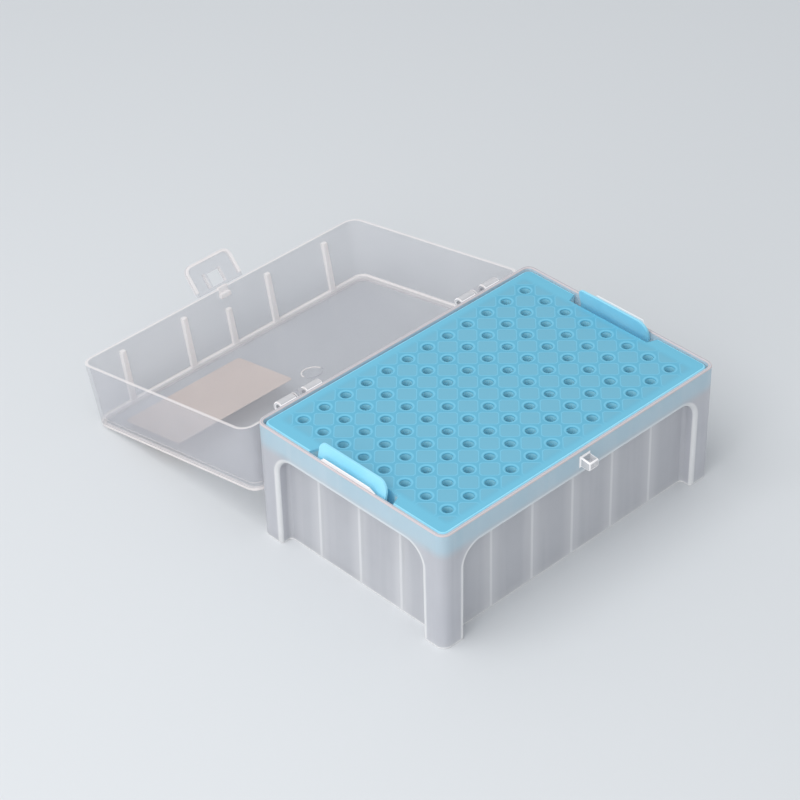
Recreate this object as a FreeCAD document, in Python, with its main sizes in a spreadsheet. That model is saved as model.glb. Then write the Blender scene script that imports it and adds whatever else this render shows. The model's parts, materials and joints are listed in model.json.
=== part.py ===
# Rack box for pipette tips: an open base, a drop-in tray with a 12 by 8 grid of holes, and a hinged
# lid with a latch flap that hooks over a catch on the base.
# Units are millimetres. +Z is up, +X runs along the box, and +Y runs from the catch to the hinge.
# The origin is the centre of the base's underside. The lid is drawn closed, then laid open.
import FreeCAD, Part
import math
import os
import re
import Sketcher
from FreeCAD import Vector

doc = FreeCAD.newDocument("tip_box")
sheet = doc.addObject("Spreadsheet::Sheet", "dims")

DIMENSIONS = {
    # Base: a box whose four sides are set back between corner posts.
    "base_length": 122.0,
    "base_width": 82.1,
    "base_height": 44.3,
    "base_draft": 0.4,
    "rim_radius": 3.4,
    "wall": 1.2,
    "floor_thick": 1.2,
    "seat_depth": 8.0,
    "ledge_thick": 1.2,
    "panel_inset": 4.7,
    "post_width": 9.2,
    "arch_radius": 7.0,
    "panel_round": 1.4,
    "post_round": 1.0,
    "web_thick": 1.0,
    "web_depth": 3.0,
    "web_pitch": 18.0,
    "bar_length": 24.0,
    "bar_thick": 0.9,
    "bar_rise": 1.8,
    "bar_inset": 0.1,
    # Catch on the front band.
    "catch_width": 4.0,
    "catch_reach": 4.0,
    "catch_top": 2.4,
    "catch_slope": 0.5,
    "catch_height": 3.1,
    "catch_chamfer": 0.5,
    # Hinge behind the rim: knuckles on the base, arms with round pins on the lid.
    "hinge_out": 2.95,
    "hinge_drop": 3.3,
    "hinge_spread": 40.0,
    "knuckle_radius": 2.2,
    "knuckle_length": 6.7,
    "arm_gap": 4.4,
    "arm_width": 3.8,
    "arm_height": 5.3,
    "pin_radius": 1.1,
    "pin_length": 3.0,
    "pin_clearance": 0.05,
    # Lid: a drafted cover that laps outside the base's rim.
    "lid_clearance": 0.4,
    "lid_wall": 1.1,
    "lid_lift": 2.2,
    "lid_depth": 22.6,
    "lid_draft": 0.86,
    "lid_plate": 1.2,
    "ridge_height": 0.9,
    "ridge_width": 1.2,
    "ridge_inset": 0.4,
    "lid_rib_thick": 1.5,
    "lid_rib_depth": 1.85,
    "lid_rib_start": 2.6,
    "lid_rib_middle_start": 7.6,
    "lid_rib_near": 19.0,
    "lid_rib_far": 46.0,
    "boss_width": 6.0,
    "boss_start": 1.6,
    "boss_height": 2.8,
    "boss_depth": 1.5,
    "gate_radius": 3.0,
    "gate_height": 0.3,
    # Label on the outside of the lid's plate.
    "label_length": 50.5,
    "label_width": 28.5,
    "label_thick": 0.15,
    "label_side": 5.0,
    "label_back": 4.75,
    # Latch flap below the lid's front rim.
    "flap_width": 20.0,
    "flap_length": 10.8,
    "flap_thick": 1.0,
    "flap_radius": 3.0,
    "flap_clearance": 0.3,
    "flap_splay": 31.0,
    "bead_width": 1.4,
    "bead_thick": 1.6,
    "window_width": 5.4,
    "window_start": 0.55,
    "window_end": 5.45,
    "flap_rib_thick": 0.9,
    "flap_rib_depth": 0.6,
    "flap_rib_end": 7.5,
    # Tray: a plate with sleeves, webs and a skirt that stands on the base's ledge.
    "tray_clearance": 0.4,
    "tray_drop": 0.6,
    "tray_plate": 1.2,
    "tray_radius": 2.5,
    "tray_round": 0.8,
    "skirt_thick": 1.0,
    "hole_pitch": 9.0,
    "hole_columns": 12,
    "hole_rows": 8,
    "hole_radius": 1.75,
    "sleeve_lift": 0.2,
    "grid_web": 1.0,
    # Finger tabs on the tray's short sides.
    "tab_half_width": 14.8,
    "tab_thick": 1.0,
    "tab_rise": 4.8,
    "tab_bend_drop": 1.8,
    "tab_lean": 1.8,
    "tab_radius": 3.5,
    "slot_width": 3.2,
    "slot_half_inner": 16.9,
    "slot_half_outer": 18.5,
    "notch_depth": 6.0,
}
for row, (alias, size) in enumerate(DIMENSIONS.items(), start=1):
    sheet.set(f"A{row}", alias)
    sheet.set(f"B{row}", str(size))
    sheet.setAlias(f"B{row}", alias)
doc.recompute()

# Levels and faces that follow from the sizes above.
HALF_L = "(base_length / 2)"
HALF_W = "(base_width / 2)"
LEDGE_Z = "(base_height - seat_depth)"
CEILING_Z = f"({LEDGE_Z} - ledge_thick)"
PANEL_X = f"({HALF_L} - panel_inset)"
PANEL_Y = f"({HALF_W} - panel_inset)"
POST_X = f"({HALF_L} - post_width)"
POST_Y = f"({HALF_W} - post_width)"
AXIS_Y = f"({HALF_W} + hinge_out)"
AXIS_Z = "(base_height - hinge_drop)"
LID_X = f"({HALF_L} + lid_clearance + lid_wall)"
LID_Y = f"({HALF_W} + lid_clearance + lid_wall)"
LID_RADIUS = "(rim_radius + lid_clearance + lid_wall)"
LID_Z = f"({AXIS_Z} + lid_lift)"
LID_TOP = f"({LID_Z} + lid_depth)"
LID_SLOPE = "(lid_draft / (lid_depth + ridge_height))"
FLAP_Y = f"(-{LID_Y} - flap_thick / 2)"
FLAP_Z = f"({LID_Z} - flap_clearance - 0.65 * flap_thick / 2)"
TRAY_X = f"({HALF_L} - wall - tray_clearance)"
TRAY_Y = f"({HALF_W} - wall - tray_clearance)"
SKIRT_X = f"({TRAY_X} - skirt_thick)"
SKIRT_Y = f"({TRAY_Y} - skirt_thick)"
TRAY_TOP = "(base_height - tray_drop)"
SLEEVE_Z = f"({LEDGE_Z} + sleeve_lift)"
BEND_Z = f"({TRAY_TOP} - tab_bend_drop)"
TAB_TOP = f"({TRAY_TOP} + tab_rise)"
SLOT_X = f"({SKIRT_X} - slot_width)"

WORD = re.compile(r"[a-z_]{3,}")


def formula(text):
    """Point each size named in an expression at its cell in the sheet."""
    return WORD.sub(lambda m: f"dims.{m[0]}" if m[0] in DIMENSIONS else m[0], str(text))


def value(text):
    result = sheet.evalExpression(formula(text))
    return float(getattr(result, "Value", result))


def pin(sketch, geometry, point, x, y):
    """Hold one point of a sketch at coordinates that follow the sheet."""
    for kind, text in (("DistanceX", x), ("DistanceY", y)):
        index = sketch.addConstraint(Sketcher.Constraint(kind, -1, 1, geometry, point, value(text)))
        sketch.setExpression(f"Constraints[{index}]", formula(text))


def sketch_on(body, name, plane, offset="0"):
    sketch = body.newObject("Sketcher::SketchObject", name)
    origin = next(f for f in body.Origin.OriginFeatures if f.Role == plane)
    sketch.AttachmentSupport = (origin, [""])
    sketch.MapMode = "FlatFace"
    sketch.setExpression("AttachmentOffset.Base.z", formula(offset))
    return sketch


def polygon(sketch, corners):
    points = [Vector(value(x), value(y), 0) for x, y in corners]
    lines = [sketch.addGeometry(Part.LineSegment(points[i - 1], points[i])) for i in range(len(points))]
    for i, line in enumerate(lines):
        sketch.addConstraint(Sketcher.Constraint("Coincident", lines[i - 1], 2, line, 1))
        pin(sketch, line, 2, *corners[i])


def rectangle(sketch, x0, x1, y0, y1):
    polygon(sketch, [(x0, y0), (x1, y0), (x1, y1), (x0, y1)])


def circle(sketch, x, y, radius):
    centre = Vector(value(x), value(y), 0)
    geometry = sketch.addGeometry(Part.Circle(centre, Vector(0, 0, 1), value(radius)))
    pin(sketch, geometry, 3, x, y)
    index = sketch.addConstraint(Sketcher.Constraint("Radius", geometry, value(radius)))
    sketch.setExpression(f"Constraints[{index}]", formula(radius))


def rounded_rectangle(sketch, half_x, half_y, radius, x="0", y="0"):
    """Four corner arcs, held at their centres, and the straight sides between them."""
    arcs = []
    for turn, (sx, sy) in enumerate(((1, -1), (1, 1), (-1, 1), (-1, -1))):
        cx = f"{x} + {sx} * ({half_x} - {radius})"
        cy = f"{y} + {sy} * ({half_y} - {radius})"
        whole = Part.Circle(Vector(value(cx), value(cy), 0), Vector(0, 0, 1), value(radius))
        start = math.pi / 2 * (turn - 1)
        arc = sketch.addGeometry(Part.ArcOfCircle(whole, start, start + math.pi / 2))
        pin(sketch, arc, 3, cx, cy)
        index = sketch.addConstraint(Sketcher.Constraint("Radius", arc, value(radius)))
        sketch.setExpression(f"Constraints[{index}]", formula(radius))
        arcs.append(arc)
    for i, arc in enumerate(arcs):
        before = arcs[i - 1]
        side = Part.LineSegment(sketch.getPoint(before, 2), sketch.getPoint(arc, 1))
        line = sketch.addGeometry(side)
        sketch.addConstraint(Sketcher.Constraint("Tangent", before, 2, line, 1))
        sketch.addConstraint(Sketcher.Constraint("Tangent", line, 2, arc, 1))


def new_body(label):
    body = doc.addObject("PartDesign::Body", label)
    body.Label = label
    return body


def extrude(body, kind, sketch, length, taper="0", symmetric=False, reverse=False):
    """Add a pad or cut a pocket from a sketch; a pocket runs against its sketch's normal."""
    feature = body.newObject(f"PartDesign::{kind}", f"{sketch.Name}_{kind.lower()}")
    feature.Profile = sketch
    if length == "through":
        feature.Type = "ThroughAll"
    else:
        feature.setExpression("Length", formula(length))
    feature.setExpression("TaperAngle", formula(taper))
    feature.SideType = "Symmetric" if symmetric else "One side"
    feature.Reversed = reverse
    sketch.Visibility = False
    doc.recompute()
    return feature


def pattern(body, feature, axis, length, count, axis2=None, length2="0", count2="1"):
    """Repeat one feature along a sketch axis, and along a second one for a grid."""
    sketch = feature.Profile[0]
    copies = body.newObject("PartDesign::LinearPattern", f"{feature.Name}_pattern")
    copies.Originals = [feature]
    copies.Direction = (sketch, [axis])
    copies.setExpression("Length", formula(length))
    copies.setExpression("Occurrences", formula(count))
    if axis2:
        copies.Direction2 = (sketch, [axis2])
        copies.setExpression("Length2", formula(length2))
        copies.setExpression("Occurrences2", formula(count2))
    body.Tip = copies
    doc.recompute()
    return copies


def fillet(body, name, radius, wanted):
    """Round the edges of the body's last feature that a test picks by their midpoint and box."""
    last = body.Tip
    names = []
    for i, edge in enumerate(last.Shape.Edges, start=1):
        first, end = edge.ParameterRange
        if wanted(edge.valueAt((first + end) / 2), edge.BoundBox):
            names.append(f"Edge{i}")
    feature = body.newObject("PartDesign::Fillet", name)
    feature.Base = (last, names)
    feature.setExpression("Radius", formula(radius))
    doc.recompute()
    return feature


def near(a, b, slack=0.02):
    return abs(a - b) < slack


# Base: the drafted outer block, its rim softened on the outside.
base = new_body("base")
outline = sketch_on(base, "base_outline", "XY_Plane")
rounded_rectangle(outline, f"({HALF_L} - base_draft)", f"({HALF_W} - base_draft)",
                  "(rim_radius - base_draft)")
extrude(base, "Pad", outline, "base_height", taper="atan(base_draft / base_height)")

# The four sides are set back between the posts, under an arch on each side.
recess = sketch_on(base, "recess", "XY_Plane")
for side in (-1, 1):
    rectangle(recess, f"-{POST_X}", POST_X, f"{side} * {PANEL_Y}", f"{side} * ({HALF_W} + 1)")
    rectangle(recess, f"{side} * {PANEL_X}", f"{side} * ({HALF_L} + 1)", f"-{POST_Y}", POST_Y)
extrude(base, "Pocket", recess, CEILING_Z, reverse=True)
ceiling, panel_x, panel_y = value(CEILING_Z), value(PANEL_X), value(PANEL_Y)
inset = value("panel_inset")
fillet(base, "arches", "arch_radius",
       lambda p, box: near(box.ZMin, ceiling) and near(box.ZLength, 0) and box.DiagonalLength < inset + 0.5)
fillet(base, "panel_corners", "panel_round",
       lambda p, box: p.z > 1 and (near(box.YLength, 0) and near(abs(p.y), panel_y)
                                   or near(box.XLength, 0) and near(abs(p.x), panel_x)))
post_x, post_y = value(POST_X) + 0.1, value(POST_Y) + 0.1
front_y, side_x = value(HALF_W) - 0.5, value(HALF_L) - 0.5
fillet(base, "post_corners", "post_round",
       lambda p, box: 1 < p.z < ceiling + 1 and (abs(p.y) > front_y and abs(p.x) < post_x
                                                 or abs(p.x) > side_x and abs(p.y) < post_y))

# The inside: a seat for the tray, the main hollow, the hollow posts and thin upright webs.
seat = sketch_on(base, "seat", "XY_Plane", "base_height")
rounded_rectangle(seat, f"({HALF_L} - wall)", f"({HALF_W} - wall)", "(rim_radius - wall)")
extrude(base, "Pocket", seat, "seat_depth")
hollow = sketch_on(base, "hollow", "XY_Plane", LEDGE_Z)
rectangle(hollow, f"-{PANEL_X} + wall", f"{PANEL_X} - wall", f"-{PANEL_Y} + wall", f"{PANEL_Y} - wall")
extrude(base, "Pocket", hollow, f"{LEDGE_Z} - floor_thick")
posts = sketch_on(base, "post_hollows", "XY_Plane", LEDGE_Z)
POST_HALF = "((post_width - 2 * wall - base_draft) / 2)"
for sx in (-1, 1):
    for sy in (-1, 1):
        rounded_rectangle(posts, POST_HALF, POST_HALF, "(rim_radius - wall - base_draft)",
                          x=f"{sx} * ({POST_X} + wall + {POST_HALF})",
                          y=f"{sy} * ({POST_Y} + wall + {POST_HALF})")
extrude(base, "Pocket", posts, f"{LEDGE_Z} - floor_thick")
for name, axis, first, count in (("long", "H_Axis", -2, 5), ("short", "V_Axis", -1, 3)):
    web = sketch_on(base, f"webs_{name}", "XY_Plane", "floor_thick - 0.1")
    along = [f"{first} * web_pitch {sign} web_thick / 2" for sign in "-+"]
    panel = PANEL_Y if name == "long" else PANEL_X
    for side in (-1, 1):
        across = [f"{side} * ({panel} - wall - web_depth)", f"{side} * ({panel} - wall / 2)"]
        if name == "long":
            rectangle(web, *along, *across)
        else:
            rectangle(web, *across, *along)
    upright = extrude(base, "Pad", web, f"{CEILING_Z} - floor_thick + 0.1")
    pattern(base, upright, axis, f"{count - 1} * web_pitch", count)

# A low bar stands on the rim at each short side.
bars = sketch_on(base, "bars", "XY_Plane", "base_height - 0.2")
for side in (-1, 1):
    rectangle(bars, f"{side} * ({HALF_L} - bar_inset - bar_thick)", f"{side} * ({HALF_L} - bar_inset)",
              "-bar_length / 2", "bar_length / 2")
extrude(base, "Pad", bars, "bar_rise + 0.2")

# The catch: a sloped top, a flat underside and a small chamfer below its nose.
catch = sketch_on(base, "catch", "YZ_Plane")
CATCH_Z = "(base_height - catch_top)"
nose = f"-{HALF_W} - catch_reach"
polygon(catch, [(f"-{HALF_W} + wall / 2", CATCH_Z),
                (nose, f"{CATCH_Z} - catch_slope"),
                (nose, f"{CATCH_Z} - catch_slope - catch_height + catch_chamfer"),
                (f"{nose} + catch_chamfer", f"{CATCH_Z} - catch_slope - catch_height"),
                (f"-{HALF_W} + wall / 2", f"{CATCH_Z} - catch_slope - catch_height")])
extrude(base, "Pad", catch, "catch_width", symmetric=True)

# Two pairs of hinge knuckles, each a round barrel joined to the rim by a short bracket.
KNUCKLE_X = "(arm_gap / 2 + knuckle_length / 2)"
for i, place in enumerate((f"-hinge_spread - {KNUCKLE_X}", f"-hinge_spread + {KNUCKLE_X}",
                           f"hinge_spread - {KNUCKLE_X}", f"hinge_spread + {KNUCKLE_X}")):
    barrel = sketch_on(base, f"barrel_{i}", "YZ_Plane", place)
    circle(barrel, AXIS_Y, AXIS_Z, "knuckle_radius")
    bracket = sketch_on(base, f"bracket_{i}", "YZ_Plane", place)
    polygon(bracket, [(f"{HALF_W} - wall / 2", f"{AXIS_Z} - knuckle_radius - 1"),
                      (AXIS_Y, f"{AXIS_Z} - knuckle_radius"),
                      (AXIS_Y, f"{AXIS_Z} + 0.7 * knuckle_radius"),
                      (f"{HALF_W} - wall / 2", f"{AXIS_Z} + 0.7 * knuckle_radius")])
    extrude(base, "Pad", bracket, "knuckle_length", symmetric=True)
    extrude(base, "Pad", barrel, "knuckle_length", symmetric=True)
bore = sketch_on(base, "hinge_bore", "YZ_Plane")
circle(bore, AXIS_Y, AXIS_Z, "(pin_radius + pin_clearance)")
extrude(base, "Pocket", bore, "through", symmetric=True)

# Tray: a thick plate on a low skirt, with its top edge rounded.
tray = new_body("tray")
shell = sketch_on(tray, "tray_outline", "XY_Plane", LEDGE_Z)
rounded_rectangle(shell, TRAY_X, TRAY_Y, "tray_radius")
extrude(tray, "Pad", shell, f"{TRAY_TOP} - {LEDGE_Z}")
tray_top = value(TRAY_TOP)
fillet(tray, "tray_edge", "tray_round", lambda p, box: near(box.ZMin, tray_top))
foot = sketch_on(tray, "skirt_foot", "XY_Plane", LEDGE_Z)
rectangle(foot, f"-{SKIRT_X}", SKIRT_X, f"-{SKIRT_Y}", SKIRT_Y)
extrude(tray, "Pocket", foot, "sleeve_lift", reverse=True)

# The underside is hollowed by a cell between every four holes, which leaves a square sleeve
# around each hole and a thin web from each sleeve to the next. Part cells line the skirt.
FIRST_X = "(-hole_pitch * (hole_columns - 1) / 2)"
FIRST_Y = "(-hole_pitch * (hole_rows - 1) / 2)"
CELL = "((hole_pitch - grid_web) / 2)"
CELL_DEPTH = f"{TRAY_TOP} - tray_plate - {SLEEVE_Z}"
cell = sketch_on(tray, "cell", "XY_Plane", SLEEVE_Z)
cell_x, cell_y = f"({FIRST_X} + hole_pitch / 2)", f"({FIRST_Y} + hole_pitch / 2)"
polygon(cell, [(f"{cell_x} - {CELL}", cell_y), (cell_x, f"{cell_y} - {CELL}"),
               (f"{cell_x} + {CELL}", cell_y), (cell_x, f"{cell_y} + {CELL}")])
pattern(tray, extrude(tray, "Pocket", cell, CELL_DEPTH, reverse=True),
        "H_Axis", "hole_pitch * (hole_columns - 2)", "hole_columns - 1",
        "V_Axis", "hole_pitch * (hole_rows - 2)", "hole_rows - 1")
edge_cell = sketch_on(tray, "edge_cell", "XY_Plane", SLEEVE_Z)
for side in (-1, 1):
    near_y = f"{side} * (-{FIRST_Y} + grid_web / 2)"
    turn_y = f"{side} * (-{FIRST_Y} + grid_web / 2 + {CELL})"
    far_y = f"{side} * {SKIRT_Y}"
    polygon(edge_cell, [(cell_x, near_y), (f"{cell_x} + {CELL}", turn_y), (f"{cell_x} + {CELL}", far_y),
                        (f"{cell_x} - {CELL}", far_y), (f"{cell_x} - {CELL}", turn_y)])
pattern(tray, extrude(tray, "Pocket", edge_cell, CELL_DEPTH, reverse=True),
        "H_Axis", "hole_pitch * (hole_columns - 2)", "hole_columns - 1")
end_cells = sketch_on(tray, "end_cells", "XY_Plane", SLEEVE_Z)
for side in (-1, 1):
    near_x = f"{side} * (-{FIRST_X} + grid_web / 2)"
    turn_x = f"{side} * (-{FIRST_X} + grid_web / 2 + {CELL})"
    for row in range(int(value("hole_rows")) - 1):
        y = f"({FIRST_Y} + {row + 0.5} * hole_pitch)"
        behind_tab = abs(value(y)) < value(f"slot_half_outer + {CELL}")
        far_x = f"{side} * ({SLOT_X} - grid_web)" if behind_tab else f"{side} * {SKIRT_X}"
        polygon(end_cells, [(near_x, y), (turn_x, f"{y} + {CELL}"), (far_x, f"{y} + {CELL}"),
                            (far_x, f"{y} - {CELL}"), (turn_x, f"{y} - {CELL}")])
    for end in (-1, 1):
        near_y = f"{end} * (-{FIRST_Y} + grid_web / 2)"
        turn_y = f"{end} * (-{FIRST_Y} + grid_web / 2 + {CELL})"
        far_x, far_y = f"{side} * {SKIRT_X}", f"{end} * {SKIRT_Y}"
        polygon(end_cells, [(near_x, turn_y), (turn_x, near_y), (far_x, near_y),
                            (far_x, far_y), (near_x, far_y)])
extrude(tray, "Pocket", end_cells, CELL_DEPTH, reverse=True)
hole = sketch_on(tray, "hole", "XY_Plane", TRAY_TOP)
circle(hole, FIRST_X, FIRST_Y, "hole_radius")
pattern(tray, extrude(tray, "Pocket", hole, f"{TRAY_TOP} - {SLEEVE_Z} + 1"),
        "H_Axis", "hole_pitch * (hole_columns - 1)", "hole_columns",
        "V_Axis", "hole_pitch * (hole_rows - 1)", "hole_rows")

# Each finger tab is a piece of the skirt that leans inward. A slot behind it and a notch at each
# end of it set it free, so the tray can be pinched and lifted out.
slots = sketch_on(tray, "tab_slots", "XY_Plane", TRAY_TOP)
for side in (-1, 1):
    polygon(slots, [(f"{side} * {SLOT_X}", "-slot_half_inner"), (f"{side} * {SKIRT_X}", "-slot_half_outer"),
                    (f"{side} * {SKIRT_X}", "slot_half_outer"), (f"{side} * {SLOT_X}", "slot_half_inner")])
extrude(tray, "Pocket", slots, f"{TRAY_TOP} - {LEDGE_Z}")
notches = sketch_on(tray, "tab_notches", "XY_Plane", TRAY_TOP)
for side in (-1, 1):
    rectangle(notches, f"{side} * ({SKIRT_X} - 0.1)", f"{side} * ({TRAY_X} + 0.5)",
              "-slot_half_outer", "slot_half_outer")
extrude(tray, "Pocket", notches, "notch_depth")
NOTCH_Z = f"({TRAY_TOP} - notch_depth)"
for side, name in ((-1, "left"), (1, "right")):
    tab = sketch_on(tray, f"tab_{name}", "XZ_Plane")
    outer, top = f"{side} * {TRAY_X}", f"{side} * ({TRAY_X} - tab_lean)"
    inner, top_inner = f"{side} * ({TRAY_X} - tab_thick)", f"{side} * ({TRAY_X} - tab_lean - tab_thick)"
    polygon(tab, [(inner, f"{NOTCH_Z} - 0.5"), (outer, f"{NOTCH_Z} - 0.5"), (outer, BEND_Z),
                  (top, TAB_TOP), (top_inner, TAB_TOP), (inner, BEND_Z)])
    extrude(tray, "Pad", tab, "2 * tab_half_width", symmetric=True)
tab_top = value(TAB_TOP)
fillet(tray, "tab_corners", "tab_radius",
       lambda p, box: near(box.ZMin, tab_top) and near(box.YLength, 0))

# Lid, drawn closed: a drafted cover with a low stacking ridge around its plate.
lid = new_body("lid")
cover = sketch_on(lid, "lid_outline", "XY_Plane", LID_Z)
rounded_rectangle(cover, LID_X, LID_Y, LID_RADIUS)
LID_TAPER = f"-atan{LID_SLOPE}"
extrude(lid, "Pad", cover, "lid_depth", taper=LID_TAPER)
within = sketch_on(lid, "lid_inside", "XY_Plane", LID_Z)
rounded_rectangle(within, f"({LID_X} - lid_wall)", f"({LID_Y} - lid_wall)", f"({LID_RADIUS} - lid_wall)")
extrude(lid, "Pocket", within, "lid_depth - lid_plate", taper=LID_TAPER, reverse=True)
ridge = sketch_on(lid, "lid_ridge", "XY_Plane", f"{LID_TOP} - 0.2")
EDGE_SHIFT = f"(lid_depth * {LID_SLOPE} + ridge_inset)"
for shrink in (EDGE_SHIFT, f"({EDGE_SHIFT} + ridge_width)"):
    rounded_rectangle(ridge, f"({LID_X} - {shrink})", f"({LID_Y} - {shrink})", f"({LID_RADIUS} - {shrink})")
extrude(lid, "Pad", ridge, "ridge_height + 0.2")

# Ribs inside the latch wall, the boss above the latch and the round gate mark inside the plate.
side_ribs = ("-lid_rib_far", "-lid_rib_near", "lid_rib_near", "lid_rib_far")
for name, start, places in (("side", "lid_rib_start", side_ribs),
                            ("middle", "lid_rib_middle_start", ("0",))):
    ribs = sketch_on(lid, f"lid_ribs_{name}", "XY_Plane", f"{LID_Z} + {start}")
    for place in places:
        rectangle(ribs, f"{place} - lid_rib_thick / 2", f"{place} + lid_rib_thick / 2",
                  f"-{LID_Y} + lid_wall - 0.1", f"-{LID_Y} + lid_wall + lid_rib_depth")
    extrude(lid, "Pad", ribs, f"lid_depth - lid_plate / 2 - {start}")
boss = sketch_on(lid, "lid_boss", "XY_Plane", f"{LID_Z} + boss_start")
rectangle(boss, "-boss_width / 2", "boss_width / 2",
          f"-{LID_Y} + lid_wall / 2", f"-{LID_Y} + lid_wall + boss_depth")
extrude(lid, "Pad", boss, "boss_height")
gate = sketch_on(lid, "gate_mark", "XY_Plane", f"{LID_TOP} - lid_plate / 2")
circle(gate, "0", "0", "gate_radius")
circle(gate, "0", "0", "(gate_radius - 0.6)")
extrude(lid, "Pad", gate, "lid_plate / 2 + gate_height", reverse=True)

# Two hinge arms reach down behind the rim, each with a pin on both sides.
for i, place in enumerate(("-hinge_spread", "hinge_spread")):
    arm = sketch_on(lid, f"arm_{i}", "YZ_Plane", place)
    polygon(arm, [(f"{LID_Y} - lid_wall / 2 - {LID_SLOPE} * arm_height", f"{LID_Z} + arm_height"),
                  (f"{AXIS_Y} + 0.7 * knuckle_radius", f"{LID_Z} + 0.1 * arm_height"),
                  (f"{AXIS_Y} + knuckle_radius", AXIS_Z),
                  (AXIS_Y, AXIS_Z),
                  (f"{LID_Y} - lid_wall / 2", f"{LID_Z} + 0.1")])
    extrude(lid, "Pad", arm, "arm_width", symmetric=True)
    disc = sketch_on(lid, f"arm_end_{i}", "YZ_Plane", place)
    circle(disc, AXIS_Y, AXIS_Z, "knuckle_radius")
    extrude(lid, "Pad", disc, "arm_width", symmetric=True)
    pins = sketch_on(lid, f"pins_{i}", "YZ_Plane", place)
    circle(pins, AXIS_Y, AXIS_Z, "pin_radius")
    extrude(lid, "Pad", pins, "arm_width + 2 * pin_length", symmetric=True)

# Opened, the lid rests with the far edge of its ridge on the table. Its turn past upside down
# follows from the height of the hinge.
FAR = f"({AXIS_Y} + {LID_Y} - {EDGE_SHIFT})"
TALL = "(lid_lift + lid_depth + ridge_height)"
OPEN_TILT = f"(asin({AXIS_Z} / sqrt({FAR} ^ 2 + {TALL} ^ 2)) - atan({TALL} / {FAR}))"
lid.setExpression("Placement", formula(
    f"create(<<placement>>; create(<<vector>>; 0; 0; 0); create(<<rotation>>; create(<<vector>>; 1; 0; 0); "
    f"-180 deg - {OPEN_TILT}); create(<<vector>>; 0; {AXIS_Y}; {AXIS_Z}))"))

# Label: a blank slip of paper on the outside of the plate.
label = doc.addObject("Part::Box", "label")
label.Label = "label"
label.setExpression("Length", formula("label_length"))
label.setExpression("Width", formula("label_width"))
label.setExpression("Height", formula("label_thick"))
label.setExpression("Placement", formula(
    f"lid.Placement * create(<<placement>>; create(<<vector>>; -label_side - label_length; "
    f"-label_back - label_width; {LID_TOP}); create(<<rotation>>; 0; 0; 0))"))

# Latch flap, drawn hanging from its hinge line: a plate with a round root, a bead around its
# free edges, a window for the catch and a short rib on each side of the window.
latch = new_body("latch")
flap = sketch_on(latch, "flap_plate", "XZ_Plane")
rectangle(flap, "-flap_width / 2", "flap_width / 2", "-flap_length", "0")
extrude(latch, "Pad", flap, "flap_thick", symmetric=True)
bead = sketch_on(latch, "flap_bead", "XZ_Plane")
HALF_FLAP = "flap_width / 2"
polygon(bead, [(f"-{HALF_FLAP}", "-bead_width"), (f"-{HALF_FLAP}", "-flap_length"),
               (HALF_FLAP, "-flap_length"), (HALF_FLAP, "-bead_width"),
               (f"{HALF_FLAP} - bead_width", "-bead_width"),
               (f"{HALF_FLAP} - bead_width", "-flap_length + bead_width"),
               (f"-{HALF_FLAP} + bead_width", "-flap_length + bead_width"),
               (f"-{HALF_FLAP} + bead_width", "-bead_width")])
extrude(latch, "Pad", bead, "bead_thick", symmetric=True)
flap_foot, flap_side = value("-flap_length"), value("flap_width / 2")
fillet(latch, "flap_corners", "flap_radius",
       lambda p, box: near(p.z, flap_foot) and near(abs(p.x), flap_side) and near(p.y, 0))
root = sketch_on(latch, "flap_root", "YZ_Plane")
circle(root, "0", "0", "flap_thick / 2")
extrude(latch, "Pad", root, "flap_width", symmetric=True)
flap_ribs = sketch_on(latch, "flap_ribs", "XZ_Plane")
for side in (-1, 1):
    edge = "(window_width / 2 + flap_rib_thick / 2)"
    rectangle(flap_ribs, f"{side} * {edge}", f"{side} * ({edge} + flap_rib_thick)",
              "-flap_rib_end", "-window_start")
extrude(latch, "Pad", flap_ribs, "flap_thick / 2 + flap_rib_depth")
window = sketch_on(latch, "flap_window", "XZ_Plane")
rectangle(window, "-window_width / 2", "window_width / 2", "-window_end", "-window_start")
extrude(latch, "Pocket", window, "through", symmetric=True)
latch.setExpression("Placement", formula(
    f"lid.Placement * create(<<placement>>; create(<<vector>>; 0; {FLAP_Y}; {FLAP_Z}); "
    f"create(<<rotation>>; create(<<vector>>; 1; 0; 0); -flap_splay))"))
doc.recompute()

for item in doc.Objects:
    if "Invalid" in item.State or "Error" in item.State:
        raise RuntimeError(f"{item.Label} did not build: {item.State}")
os.makedirs("parts", exist_ok=True)
for node in (base, tray, lid, label, latch):
    shape = node.Shape
    if shape.isNull() or not shape.isValid() or len(shape.Solids) != 1:
        raise RuntimeError(f"{node.Label} is not one sound solid")
    shape.exportStep(f"parts/{node.Label}.step")
    print(node.Label, "volume", round(shape.Volume, 1), "box", shape.BoundBox)
print("hinge", value(AXIS_Y), value(AXIS_Z), "open tilt", value(OPEN_TILT))
print("latch hinge", latch.Placement.Base)
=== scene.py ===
# %% [markdown]
# # A pipette tip box with its lid laid open
#
# This lesson dresses a small piece of laboratory ware: a frosted base, a blue tray drilled with a
# grid of holes, and a clear lid that lies open behind them. The engineering model is loaded first.
# It fixes every size and place, so each finer piece made here starts from a box measured on it.

# %% Load the model and note its box
import json
import math
import bmesh
import bpy
from mathutils import Matrix, Vector


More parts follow.
